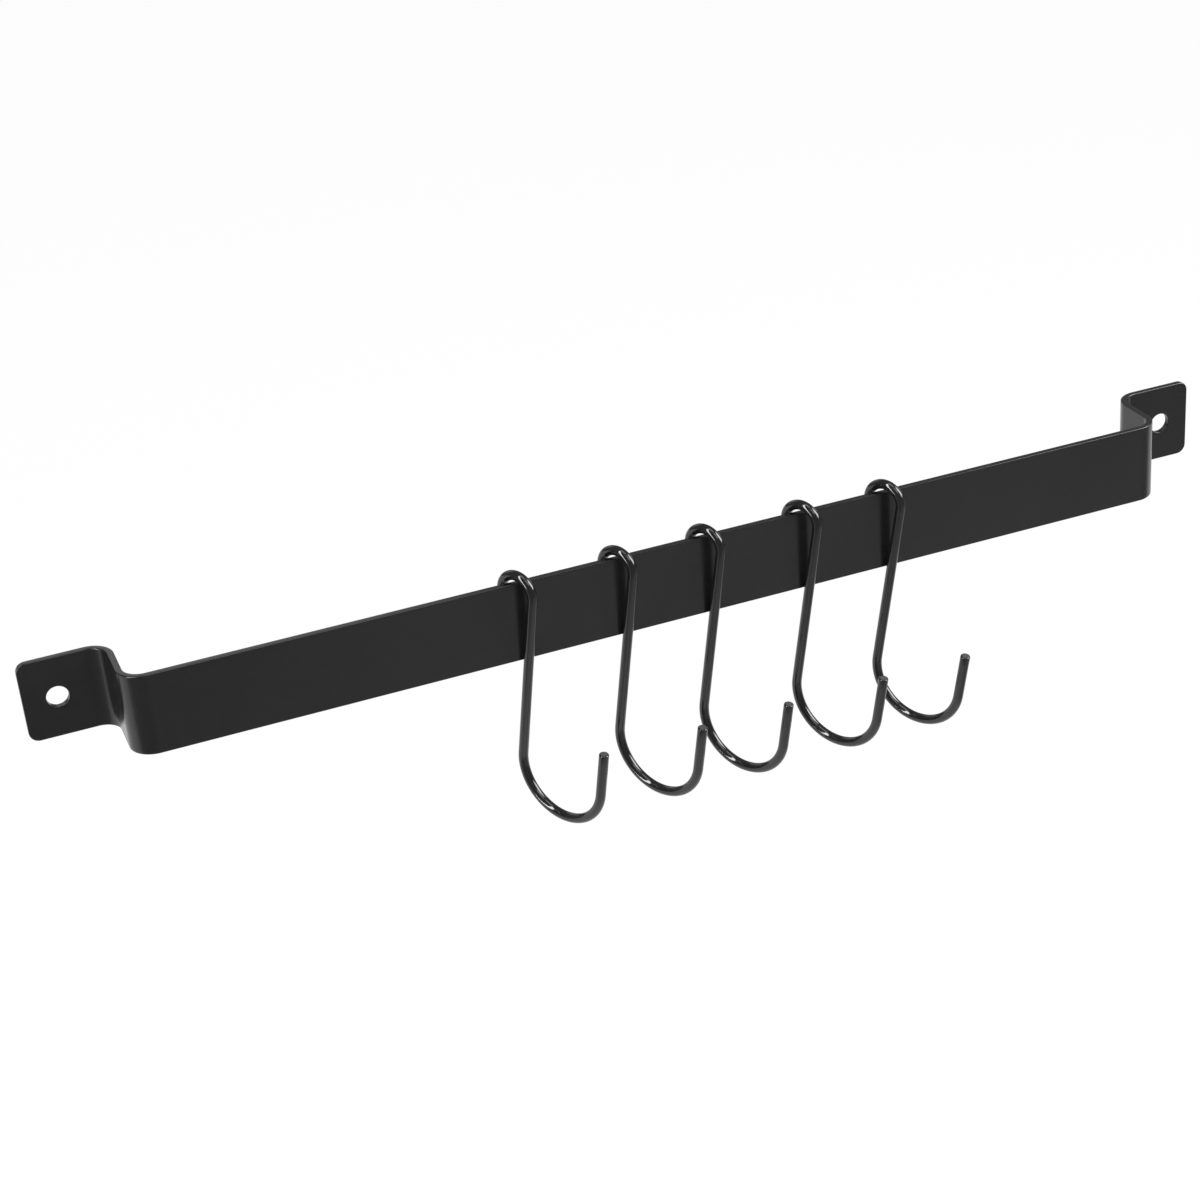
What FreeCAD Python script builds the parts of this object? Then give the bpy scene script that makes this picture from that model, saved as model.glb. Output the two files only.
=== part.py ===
"""Kitchen utensil rail: a flat steel bar on two joggled wall tabs, with five wire hooks.

Millimetres. +X runs along the rail, +Y points into the wall, +Z is up. The origin is on
the wall plane, midway between the two screw holes. Each hook is bent in one plane, hangs
with its crook over the bar's top edge and leans its shank on the bar's lower front edge.
"""

import FreeCAD, Part
import math
import os

import Sketcher

Y_AXIS = FreeCAD.Vector(0, 1, 0)
Z_AXIS = FreeCAD.Vector(0, 0, 1)

# Numbers by which a sketch names its points and its own two axes
FIRST_END = 1
LAST_END = 2
CENTRE = 3
LEVEL_AXIS = -1
UPRIGHT_AXIS = -2
ROOT_POINT = (LEVEL_AXIS, FIRST_END)

# How near two lengths are, in millimetres, to count as the same
TOLERANCE = 1e-4

# Driving dimensions: lengths in millimetres, angles in degrees
DIMENSIONS = [
    ("rail_length", 380.0),
    ("bar_height", 25.0),
    ("strip_thickness", 2.0),
    ("wall_standoff", 26.0),
    ("tab_length", 25.0),
    ("bend_radius", 5.5),
    ("corner_radius", 3.0),
    ("strip_edge_radius", 0.4),
    ("hole_diameter", 6.5),
    ("hole_inset", 10.0),
    ("wire_diameter", 3.0),
    ("crook_radius", 5.7),
    ("back_leg_length", 5.0),
    ("shank_length", 54.5),
    ("throat_radius", 14.9),
    ("tip_length", 15.2),
    ("wire_end_radius", 0.4),
    ("hook_turn", 29.3),
    ("seat_angle", 48.0),
    ("seat_clearance", 0.25),
    ("hook_1_place", -50.5),
    ("hook_2_place", -19.4),
    ("hook_3_place", 8.4),
    ("hook_4_place", 39.7),
    ("hook_5_place", 67.4),
]
HOOK_COUNT = 5


def make_sheet(doc):
    """Put every driving dimension in one spreadsheet, each with an alias."""
    sheet = doc.addObject("Spreadsheet::Sheet", "dims")
    for row, (name, value) in enumerate(DIMENSIONS, start=1):
        sheet.set(f"A{row}", name)
        sheet.set(f"B{row}", str(value))
        sheet.setAlias(f"B{row}", name)
    doc.recompute()
    return sheet


def origin_plane(body, role):
    """Return one of the body's own three origin planes."""
    for feature in body.Origin.OriginFeatures:
        if feature.Role == role:
            return feature
    raise ValueError(f"{body.Label} has no {role}")


def sketch_on(body, name, role):
    """Start a sketch on one of the body's origin planes."""
    sketch = body.newObject("Sketcher::SketchObject", name)
    sketch.AttachmentSupport = [(origin_plane(body, role), "")]
    sketch.MapMode = "FlatFace"
    return sketch


def bind(sketch, name, constraint, formula):
    """Add one named constraint whose value comes from the sheet."""
    index = sketch.addConstraint(constraint)
    sketch.renameConstraint(index, name)
    sketch.setExpression(f"Constraints.{name}", formula)


def add_line(sketch, start, end):
    """Add a straight segment between two sketch points."""
    first = FreeCAD.Vector(start[0], start[1], 0)
    last = FreeCAD.Vector(end[0], end[1], 0)
    return sketch.addGeometry(Part.LineSegment(first, last))


def add_arc(sketch, centre, radius, from_degrees, to_degrees):
    """Add an arc that runs anticlockwise between two angles."""
    circle = Part.Circle(FreeCAD.Vector(centre[0], centre[1], 0), Z_AXIS, radius)
    arc = Part.ArcOfCircle(circle, math.radians(from_degrees), math.radians(to_degrees))
    return sketch.addGeometry(arc)


def strip_outline(body, sheet):
    """Draw the right half of the bent strip as it is seen from above."""
    thickness = sheet.strip_thickness
    inner = sheet.bend_radius
    outer = inner + thickness
    front = -sheet.wall_standoff
    end = sheet.rail_length / 2
    leg_outer = end - sheet.tab_length
    leg_inner = leg_outer - thickness
    bar_bend = (leg_outer - outer, front + outer)
    tab_bend = (leg_outer + inner, -outer)

    sketch = sketch_on(body, "strip_outline", "XY_Plane")
    bar_front = add_line(sketch, (0, front), (bar_bend[0], front))
    bar_bend_outside = add_arc(sketch, bar_bend, outer, -90, 0)
    leg_outside = add_line(sketch, (leg_outer, bar_bend[1]), (leg_outer, tab_bend[1]))
    tab_bend_inside = add_arc(sketch, tab_bend, inner, 90, 180)
    tab_front = add_line(sketch, (tab_bend[0], -thickness), (end, -thickness))
    tab_end = add_line(sketch, (end, -thickness), (end, 0))
    tab_back = add_line(sketch, (end, 0), (tab_bend[0], 0))
    tab_bend_outside = add_arc(sketch, tab_bend, outer, 90, 180)
    leg_inside = add_line(sketch, (leg_inner, tab_bend[1]), (leg_inner, bar_bend[1]))
    bar_bend_inside = add_arc(sketch, bar_bend, inner, -90, 0)
    bar_back = add_line(sketch, (bar_bend[0], front + thickness), (0, front + thickness))
    middle = add_line(sketch, (0, front + thickness), (0, front))

    tangent_joints = [
        (bar_front, LAST_END, bar_bend_outside, FIRST_END),
        (bar_bend_outside, LAST_END, leg_outside, FIRST_END),
        (leg_outside, LAST_END, tab_bend_inside, LAST_END),
        (tab_bend_inside, FIRST_END, tab_front, FIRST_END),
        (tab_back, LAST_END, tab_bend_outside, FIRST_END),
        (tab_bend_outside, LAST_END, leg_inside, FIRST_END),
        (leg_inside, LAST_END, bar_bend_inside, LAST_END),
        (bar_bend_inside, FIRST_END, bar_back, FIRST_END),
    ]
    for joint in tangent_joints:
        sketch.addConstraint(Sketcher.Constraint("Tangent", *joint))
    corner_joints = [
        (tab_front, LAST_END, tab_end, FIRST_END),
        (tab_end, LAST_END, tab_back, FIRST_END),
        (bar_back, LAST_END, middle, FIRST_END),
        (middle, LAST_END, bar_front, FIRST_END),
    ]
    for joint in corner_joints:
        sketch.addConstraint(Sketcher.Constraint("Coincident", *joint))
    for line in (bar_front, tab_front, tab_back, bar_back):
        sketch.addConstraint(Sketcher.Constraint("Horizontal", line))
    for line in (leg_outside, tab_end, leg_inside, middle):
        sketch.addConstraint(Sketcher.Constraint("Vertical", line))
    sketch.addConstraint(Sketcher.Constraint("PointOnObject", middle, FIRST_END, UPRIGHT_AXIS))
    sketch.addConstraint(Sketcher.Constraint("PointOnObject", tab_back, FIRST_END, LEVEL_AXIS))

    def across(first, second, distance):
        return Sketcher.Constraint("DistanceX", *first, *second, distance)

    def along(first, second, distance):
        return Sketcher.Constraint("DistanceY", *first, *second, distance)

    half_length = across(ROOT_POINT, (tab_end, FIRST_END), end)
    standoff = along((bar_front, FIRST_END), ROOT_POINT, -front)
    tab = across((leg_outside, FIRST_END), (tab_end, FIRST_END), sheet.tab_length)
    leg_thickness = across((leg_inside, FIRST_END), (leg_outside, FIRST_END), thickness)
    tab_thickness = along((tab_end, FIRST_END), (tab_end, LAST_END), thickness)
    bar_thickness = along((middle, LAST_END), (middle, FIRST_END), thickness)
    bind(sketch, "half_length", half_length, "dims.rail_length / 2")
    bind(sketch, "standoff", standoff, "dims.wall_standoff")
    bind(sketch, "tab", tab, "dims.tab_length")
    bind(sketch, "leg_thickness", leg_thickness, "dims.strip_thickness")
    bind(sketch, "tab_thickness", tab_thickness, "dims.strip_thickness")
    bind(sketch, "bar_thickness", bar_thickness, "dims.strip_thickness")
    for name, arc in (("bar_inner", bar_bend_inside), ("tab_inner", tab_bend_inside)):
        bind(sketch, name, Sketcher.Constraint("Radius", arc, inner), "dims.bend_radius")
    for name, arc in (("bar_outer", bar_bend_outside), ("tab_outer", tab_bend_outside)):
        formula = "dims.bend_radius + dims.strip_thickness"
        bind(sketch, name, Sketcher.Constraint("Radius", arc, outer), formula)
    return sketch


def screw_hole_outline(body, sheet):
    """Draw the round screw hole at the middle of the right tab."""
    from_middle = sheet.rail_length / 2 - sheet.hole_inset
    sketch = sketch_on(body, "screw_hole_outline", "XZ_Plane")
    centre = FreeCAD.Vector(from_middle, 0, 0)
    hole = sketch.addGeometry(Part.Circle(centre, Z_AXIS, sheet.hole_diameter / 2))
    hole_centre = (hole, CENTRE)
    sketch.addConstraint(Sketcher.Constraint("PointOnObject", *hole_centre, LEVEL_AXIS))
    place = Sketcher.Constraint("DistanceX", *ROOT_POINT, *hole_centre, from_middle)
    diameter = Sketcher.Constraint("Diameter", hole, sheet.hole_diameter)
    bind(sketch, "from_middle", place, "dims.rail_length / 2 - dims.hole_inset")
    bind(sketch, "diameter", diameter, "dims.hole_diameter")
    return sketch


def edges_where(shape, wanted):
    """Name the edges of a shape that pass a test."""
    return [f"Edge{number}" for number, edge in enumerate(shape.Edges, start=1) if wanted(edge)]


def add_fillet(body, name, base, edges, radius_formula):
    """Round the named edges of a feature."""
    fillet = body.newObject("PartDesign::Fillet", name)
    fillet.Base = (base, edges)
    fillet.setExpression("Radius", radius_formula)
    return fillet


def make_rail(doc, sheet):
    """Bend the flat bar: one strip from wall tab to wall tab."""
    body = doc.addObject("PartDesign::Body", "rail")
    body.Label = "rail"

    outline = strip_outline(body, sheet)
    strip = body.newObject("PartDesign::Pad", "strip")
    strip.Profile = outline
    strip.SideType = "Symmetric"
    strip.setExpression("Length", "dims.bar_height")

    hole_outline = screw_hole_outline(body, sheet)
    doc.recompute()
    uncut_volume = strip.Shape.Volume
    hole = body.newObject("PartDesign::Pocket", "screw_hole")
    hole.Profile = hole_outline
    hole.SideType = "Symmetric"
    hole.Type = "ThroughAll"
    doc.recompute()
    if hole.Shape.Volume >= uncut_volume:
        raise ValueError("the screw hole cuts nothing")

    both_ends = body.newObject("PartDesign::Mirrored", "both_ends")
    both_ends.Originals = [strip, hole]
    both_ends.MirrorPlane = (origin_plane(body, "YZ_Plane"), [""])
    both_ends.Refine = True
    body.Tip = both_ends
    doc.recompute()

    half_length = sheet.rail_length / 2
    half_height = sheet.bar_height / 2

    def is_tab_corner(edge):
        middle = edge.CenterOfMass
        at_end = abs(abs(middle.x) - half_length) < TOLERANCE
        at_rim = abs(abs(middle.z) - half_height) < TOLERANCE
        return at_end and at_rim

    corners = edges_where(both_ends.Shape, is_tab_corner)
    rounded_tabs = add_fillet(body, "tab_corners", both_ends, corners, "dims.corner_radius")
    doc.recompute()

    def is_strip_rim(edge):
        box = edge.BoundBox
        is_level = box.ZLength < TOLERANCE
        return is_level and abs(abs(box.Center.z) - half_height) < TOLERANCE

    rim = edges_where(rounded_tabs.Shape, is_strip_rim)
    soft_rim = add_fillet(body, "soft_rim", rounded_tabs, rim, "dims.strip_edge_radius")
    body.Tip = soft_rim
    return body


def wire_path(body, sheet):
    """Draw the wire's centre line: back leg, crook, shank, throat and tip."""
    crook = sheet.crook_radius
    throat = sheet.throat_radius
    throat_centre = (crook + throat, -sheet.shank_length)
    tip_across = crook + 2 * throat
    tip_top = throat_centre[1] + sheet.tip_length

    sketch = sketch_on(body, "wire_path", "XZ_Plane")
    back_leg = add_line(sketch, (-crook, -sheet.back_leg_length), (-crook, 0))
    crook_arc = add_arc(sketch, (0, 0), crook, 0, 180)
    shank = add_line(sketch, (crook, 0), (crook, throat_centre[1]))
    throat_arc = add_arc(sketch, throat_centre, throat, 180, 360)
    tip = add_line(sketch, (tip_across, throat_centre[1]), (tip_across, tip_top))

    tangent_joints = [
        (back_leg, LAST_END, crook_arc, LAST_END),
        (crook_arc, FIRST_END, shank, FIRST_END),
        (shank, LAST_END, throat_arc, FIRST_END),
        (throat_arc, LAST_END, tip, FIRST_END),
    ]
    for joint in tangent_joints:
        sketch.addConstraint(Sketcher.Constraint("Tangent", *joint))
    for line in (back_leg, shank, tip):
        sketch.addConstraint(Sketcher.Constraint("Vertical", line))
    sketch.addConstraint(Sketcher.Constraint("Coincident", crook_arc, CENTRE, *ROOT_POINT))

    bind(sketch, "crook", Sketcher.Constraint("Radius", crook_arc, crook), "dims.crook_radius")
    bind(sketch, "throat", Sketcher.Constraint("Radius", throat_arc, throat), "dims.throat_radius")
    upright_lines = [
        ("back_leg", (back_leg, FIRST_END), (back_leg, LAST_END), "back_leg_length"),
        ("shank", (shank, LAST_END), (shank, FIRST_END), "shank_length"),
        ("tip", (tip, FIRST_END), (tip, LAST_END), "tip_length"),
    ]
    for name, low, high, alias in upright_lines:
        length = getattr(sheet, alias)
        constraint = Sketcher.Constraint("DistanceY", *low, *high, length)
        bind(sketch, name, constraint, f"dims.{alias}")
    return sketch


def wire_section(body, sheet):
    """Draw the round wire's section where the back leg ends."""
    sketch = sketch_on(body, "wire_section", "XY_Plane")
    sketch.setExpression("AttachmentOffset.Base.x", "-dims.crook_radius")
    sketch.setExpression("AttachmentOffset.Base.z", "-dims.back_leg_length")
    circle = Part.Circle(FreeCAD.Vector(0, 0, 0), Z_AXIS, sheet.wire_diameter / 2)
    ring = sketch.addGeometry(circle)
    sketch.addConstraint(Sketcher.Constraint("Coincident", ring, CENTRE, *ROOT_POINT))
    constraint = Sketcher.Constraint("Diameter", ring, sheet.wire_diameter)
    bind(sketch, "wire", constraint, "dims.wire_diameter")
    return sketch


def hanging_placement(sheet, along_rail):
    """Place a hook as it hangs, its crook on the bar and its shank against the lower edge.

    The hook's plane is turned about the upright. Seen in that plane, the crook bears on
    the bar's top back corner, and the shank is the line from the crook that just clears
    the bar's lower front corner.
    """
    turn = math.radians(sheet.hook_turn)
    seat = math.radians(sheet.seat_angle)
    wire = sheet.wire_diameter / 2
    half_bar = sheet.strip_thickness / 2 / math.cos(turn)
    reach = sheet.crook_radius - wire - sheet.seat_clearance
    crook_forward = reach * math.cos(seat) - half_bar
    crook_up = -reach * math.sin(seat)

    edge_forward = half_bar + (wire + sheet.seat_clearance) / math.cos(turn)
    to_crook_forward = crook_forward - edge_forward
    to_crook_up = crook_up + sheet.bar_height
    to_crook = math.hypot(to_crook_forward, to_crook_up)
    lean = math.atan2(to_crook_forward, to_crook_up) + math.asin(sheet.crook_radius / to_crook)

    bar_middle = sheet.strip_thickness / 2 - sheet.wall_standoff
    seat_point = FreeCAD.Vector(
        along_rail + crook_forward * math.sin(turn),
        bar_middle - crook_forward * math.cos(turn),
        sheet.bar_height / 2 + crook_up,
    )
    turned = FreeCAD.Rotation(Z_AXIS, sheet.hook_turn - 90)
    leaning = FreeCAD.Rotation(Y_AXIS, math.degrees(lean))
    return FreeCAD.Placement(seat_point, turned * leaning)


def make_hook(doc, sheet, number):
    """Bend one wire hook and hang it at its place on the bar."""
    name = f"hook_{number}"
    body = doc.addObject("PartDesign::Body", name)
    body.Label = name

    path = wire_path(body, sheet)
    section = wire_section(body, sheet)
    doc.recompute()
    wire = body.newObject("PartDesign::AdditivePipe", f"wire_{number}")
    wire.Profile = section
    wire.Spine = path
    doc.recompute()

    cut_levels = (-sheet.back_leg_length, sheet.tip_length - sheet.shank_length)

    def is_cut_end(edge):
        nearest = min(abs(edge.CenterOfMass.z - level) for level in cut_levels)
        return edge.isClosed() and nearest < TOLERANCE

    cut_ends = edges_where(wire.Shape, is_cut_end)
    soft_ends = add_fillet(body, f"soft_ends_{number}", wire, cut_ends, "dims.wire_end_radius")
    body.Tip = soft_ends
    body.Placement = hanging_placement(sheet, getattr(sheet, f"{name}_place"))
    return body


def check(doc, bodies):
    """Stop if any object failed or any piece is not one sound solid."""
    for item in doc.Objects:
        if "Invalid" in item.State or "Error" in item.State:
            raise ValueError(f"{item.Label} failed: {item.State}")
    for body in bodies:
        shape = body.Shape
        if shape.isNull() or not shape.isValid():
            raise ValueError(f"{body.Label} has no valid shape")
        if len(shape.Solids) != 1:
            raise ValueError(f"{body.Label} has {len(shape.Solids)} solids")


def main():
    """Build the rail and its hooks and write one STEP file for each."""
    doc = FreeCAD.newDocument("utensil_rail")
    sheet = make_sheet(doc)
    bodies = [make_rail(doc, sheet)]
    for number in range(1, HOOK_COUNT + 1):
        bodies.append(make_hook(doc, sheet, number))
    doc.recompute()
    check(doc, bodies)

    os.makedirs("parts", exist_ok=True)
    for body in bodies:
        body.Shape.exportStep(f"parts/{body.Label}.step")
        box = body.Shape.BoundBox
        print(
            f"{body.Label}: {body.Shape.Volume:.1f} mm3,"
            f" x {box.XMin:.2f} to {box.XMax:.2f},"
            f" y {box.YMin:.2f} to {box.YMax:.2f},"
            f" z {box.ZMin:.2f} to {box.ZMax:.2f}"
        )


main()
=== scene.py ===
"""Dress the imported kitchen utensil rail: one bent strip of flat steel and five bent wire hooks.

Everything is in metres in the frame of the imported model: +X runs along the rail, +Y points
into the wall and +Z is up. Sizes are written in millimetres and turned to metres by MM.
"""

from __future__ import annotations

import itertools
import logging
import math
from dataclasses import dataclass, field
from enum import Enum
from typing import ClassVar, NamedTuple

import bmesh
import bpy
from mathutils import Matrix, Vector


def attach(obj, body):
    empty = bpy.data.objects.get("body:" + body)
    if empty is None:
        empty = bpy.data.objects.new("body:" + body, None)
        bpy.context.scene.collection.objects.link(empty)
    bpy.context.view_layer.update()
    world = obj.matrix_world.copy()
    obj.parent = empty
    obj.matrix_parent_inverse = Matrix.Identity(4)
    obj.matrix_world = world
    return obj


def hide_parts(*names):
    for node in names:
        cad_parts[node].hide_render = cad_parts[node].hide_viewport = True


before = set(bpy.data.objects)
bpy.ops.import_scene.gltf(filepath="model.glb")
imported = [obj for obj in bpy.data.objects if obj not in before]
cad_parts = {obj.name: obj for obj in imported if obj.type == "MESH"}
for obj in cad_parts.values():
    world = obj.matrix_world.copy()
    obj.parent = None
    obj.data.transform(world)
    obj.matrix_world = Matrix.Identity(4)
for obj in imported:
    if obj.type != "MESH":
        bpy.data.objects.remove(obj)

LOG = logging.getLogger("utensil_rail")
MM = 0.001
QUARTER_TURN = math.pi / 2

# Face attribute that marks the sheared ends of the wires
SHEARED_END = "sheared_end"

# How near two places on the strip are, in millimetres, to count as the same
TOLERANCE = 1e-6

# The sRGB curve: a straight line near black and a power above it
SRGB_KNEE = 0.04045
SRGB_SLOPE = 12.92
SRGB_OFFSET = 0.055
SRGB_POWER = 2.4

# The Mix node's colour sockets share their names with its other sockets, so they go by number
MIX_COLOUR_A = 6
MIX_COLOUR_B = 7
MIX_COLOUR_RESULT = 2

# Where the hooks sit along the bar, from left to right, in millimetres
HOOK_PLACES = (-50.5, -19.4, 8.4, 39.7, 67.4)

Point = tuple[float, float, float]
Columns = list[list[int]]


class Slot(Enum):
    """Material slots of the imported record."""

    RAIL_PAINT = "rail_paint"
    HOOK_ENAMEL = "hook_enamel"


class Facing(Enum):
    """The two broad faces of the flat strip, by the sign of their flat Y."""

    FRONT = -1
    BACK = 1


def linear(hex_colour: str) -> tuple[float, float, float, float]:
    """Turn an sRGB hex colour into linear red, green, blue and alpha.

    Args:
        hex_colour: six hex digits after a hash sign.

    Returns:
        The linear colour, with alpha 1.
    """
    shares = [value / 255 for value in bytes.fromhex(hex_colour.removeprefix("#"))]
    bent = [
        share / SRGB_SLOPE
        if share <= SRGB_KNEE
        else ((share + SRGB_OFFSET) / (1 + SRGB_OFFSET)) ** SRGB_POWER
        for share in shares
    ]
    return (*bent, 1.0)


def add_node(
    tree: bpy.types.NodeTree,
    kind: str,
    settings: dict | None = None,
    inputs: dict | None = None,
) -> bpy.types.Node:
    """Add one node with its settings, values and links.

    Args:
        tree: the tree that gets the node.
        kind: the node's type name.
        settings: properties of the node, by name.
        inputs: values or output sockets, by the input's name or number.

    Returns:
        The new node.
    """
    node = tree.nodes.new(kind)
    for name, value in (settings or {}).items():
        setattr(node, name, value)
    for key, value in (inputs or {}).items():
        if isinstance(value, bpy.types.NodeSocket):
            tree.links.new(value, node.inputs[key])
        else:
            node.inputs[key].default_value = value
    return node


def blend_colours(
    tree: bpy.types.NodeTree,
    share: bpy.types.NodeSocket,
    first: bpy.types.NodeSocket | tuple[float, ...],
    second: bpy.types.NodeSocket | tuple[float, ...],
) -> bpy.types.NodeSocket:
    """Add a Mix node for two colours.

    Args:
        tree: the tree that gets the node.
        share: how much of the second colour to take.
        first: the colour where the share is 0.
        second: the colour where the share is 1.

    Returns:
        The socket of the blended colour.
    """
    inputs = {"Factor": share, MIX_COLOUR_A: first, MIX_COLOUR_B: second}
    node = add_node(tree, "ShaderNodeMix", {"data_type": "RGBA"}, inputs)
    return node.outputs[MIX_COLOUR_RESULT]


@dataclass
class Term:
    """One number of a formula in a node tree, written with ordinary signs."""

    tree: bpy.types.NodeTree
    value: bpy.types.NodeSocket | float

    def step(self, operation: str, *others: Term | float) -> Term:
        """Add one Math node.

        Args:
            operation: the node's operation.
            others: the numbers that come after this one.

        Returns:
            The node's result.
        """
        values = [self.value]
        values += [other.value if isinstance(other, Term) else other for other in others]
        settings = {"operation": operation}
        node = add_node(self.tree, "ShaderNodeMath", settings, dict(enumerate(values)))
        return Term(self.tree, node.outputs[0])

    def __add__(self, other: Term | float) -> Term:
        """Return the sum."""
        return self.step("ADD", other)

    def __sub__(self, other: Term | float) -> Term:
        """Return the difference."""
        return self.step("SUBTRACT", other)

    def __mul__(self, other: Term | float) -> Term:
        """Return the product."""
        return self.step("MULTIPLY", other)

    def __truediv__(self, other: Term | float) -> Term:
        """Return the quotient."""
        return self.step("DIVIDE", other)

    def rest_of_one(self) -> Term:
        """Return one less this number."""
        return Term(self.tree, 1.0).step("SUBTRACT", self)

    def within(self, start: Term, length: Term) -> Term:
        """Return how much of a run of this length lies behind this distance."""
        return (self - start).step("MAXIMUM", 0.0).step("MINIMUM", length)


class FormTree:
    """A Geometry Nodes tree with named sizes that moves the points of what it is given.

    A face with more than four corners is a sheared end, which is left flat and marked.
    """

    CORNERS: ClassVar = 4

    def __init__(self, name: str, sizes: tuple[str, ...]) -> None:
        """Start the tree.

        Args:
            name: the tree's name.
            sizes: names of its inputs, each a length in metres or an angle in radians.
        """
        self.tree = bpy.data.node_groups.new(name, "GeometryNodeTree")
        sides = self.tree.interface
        sides.new_socket("Geometry", in_out="INPUT", socket_type="NodeSocketGeometry")
        for size in sizes:
            sides.new_socket(size, in_out="INPUT", socket_type="NodeSocketFloat")
        sides.new_socket("Finish", in_out="INPUT", socket_type="NodeSocketMaterial")
        sides.new_socket("Geometry", in_out="OUTPUT", socket_type="NodeSocketGeometry")
        self.given = self.add("NodeGroupInput")
        place = self.add("GeometryNodeInputPosition")
        split = self.add("ShaderNodeSeparateXYZ", inputs={0: place.outputs[0]})
        self.x, self.y, self.z = (Term(self.tree, socket) for socket in split.outputs)

    def add(
        self, kind: str, settings: dict | None = None, inputs: dict | None = None
    ) -> bpy.types.Node:
        """Add one node to this tree."""
        return add_node(self.tree, kind, settings, inputs)

    def size(self, name: str) -> Term:
        """Return one of the tree's named sizes."""
        return Term(self.tree, self.given.outputs[name])

    def moved(
        self, geometry: bpy.types.NodeSocket, x: Term, y: Term | float, z: Term
    ) -> bpy.types.NodeSocket:
        """Move every point to the place that the formulas give.

        Args:
            geometry: the points.
            x: formula of the new X.
            y: formula of the new Y, or one value for all.
            z: formula of the new Z.

        Returns:
            The moved geometry.
        """
        across = y.value if isinstance(y, Term) else y
        place = self.add("ShaderNodeCombineXYZ", inputs={0: x.value, 1: across, 2: z.value})
        inputs = {"Geometry": geometry, "Position": place.outputs[0]}
        return self.add("GeometryNodeSetPosition", inputs=inputs).outputs[0]

    def close(self, geometry: bpy.types.NodeSocket) -> None:
        """End the tree: smooth shading but for sheared ends, real geometry and the finish.

        Args:
            geometry: the finished form.
        """
        corners = self.add("GeometryNodeInputMeshFaceNeighbors").outputs["Vertex Count"]
        sheared = Term(self.tree, corners).step("GREATER_THAN", self.CORNERS)
        marks = {"Geometry": geometry, "Name": SHEARED_END, "Value": sheared.value}
        marked = self.add("GeometryNodeStoreNamedAttribute", {"domain": "FACE"}, marks)
        shading = {"Geometry": marked.outputs[0], "Shade Smooth": sheared.rest_of_one().value}
        smooth = self.add("GeometryNodeSetShadeSmooth", inputs=shading)
        real = self.add("GeometryNodeRealizeInstances", inputs={"Geometry": smooth.outputs[0]})
        inputs = {"Geometry": real.outputs[0], "Material": self.given.outputs["Finish"]}
        painted = self.add("GeometryNodeSetMaterial", inputs=inputs)
        self.add("NodeGroupOutput", inputs={0: painted.outputs[0]})

    def apply(
        self,
        blank: bpy.types.Object,
        sizes: dict[str, float],
        finish: bpy.types.Material,
        name: str,
    ) -> bpy.types.Object:
        """Run the tree on a blank and keep the result as a plain mesh object.

        Args:
            blank: the straight or flat stock, which is removed afterwards.
            sizes: a value for each named size.
            finish: the material.
            name: the new object's name.

        Returns:
            The new object, at the origin, with its place in its mesh.
        """
        modifier = blank.modifiers.new("form", "NODES")
        modifier.node_group = self.tree
        values = {**sizes, "Finish": finish}
        for item in self.tree.interface.items_tree:
            if item.in_out == "INPUT" and item.name in values:
                modifier[item.identifier] = values[item.name]
        blank.update_tag()
        bpy.context.view_layer.update()
        formed = blank.evaluated_get(bpy.context.evaluated_depsgraph_get())
        mesh = bpy.data.meshes.new_from_object(formed)
        mesh.name = name
        bpy.data.objects.remove(blank)
        piece = bpy.data.objects.new(name, mesh)
        bpy.context.scene.collection.objects.link(piece)
        return piece


class BendTree(FormTree):
    """Bends the flat strip into bar, legs and tabs, keeping its middle layer's length."""

    SIZES: ClassVar = ("Bar Half", "Bend Radius", "Leg", "Middle Layer")

    def __init__(self) -> None:
        """Build the tree."""
        super().__init__("bend_flat_strip", self.SIZES)
        bar, radius, leg, middle = (self.size(name) for name in self.SIZES)
        arc = radius * QUARTER_TURN
        along = self.x.step("ABSOLUTE")
        on_bar = along.step("MINIMUM", bar)
        first_turn = along.within(bar, arc) / radius
        on_leg = along.within(bar + arc, leg)
        second_turn = along.within(bar + arc + leg, arc) / radius
        on_tab = (along - (bar + arc + leg + arc)).step("MAXIMUM", 0.0)
        heading = first_turn - second_turn

        ahead = on_bar + radius * first_turn.step("SINE")
        ahead = ahead + radius * second_turn.step("COSINE").rest_of_one() + on_tab
        inward = middle + radius * first_turn.step("COSINE").rest_of_one() + on_leg
        inward = inward + radius * second_turn.step("SINE")
        x = (ahead - self.y * heading.step("SINE")) * self.x.step("SIGN")
        y = inward + self.y * heading.step("COSINE")
        self.close(self.moved(self.given.outputs["Geometry"], x, y, self.z))


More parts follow.
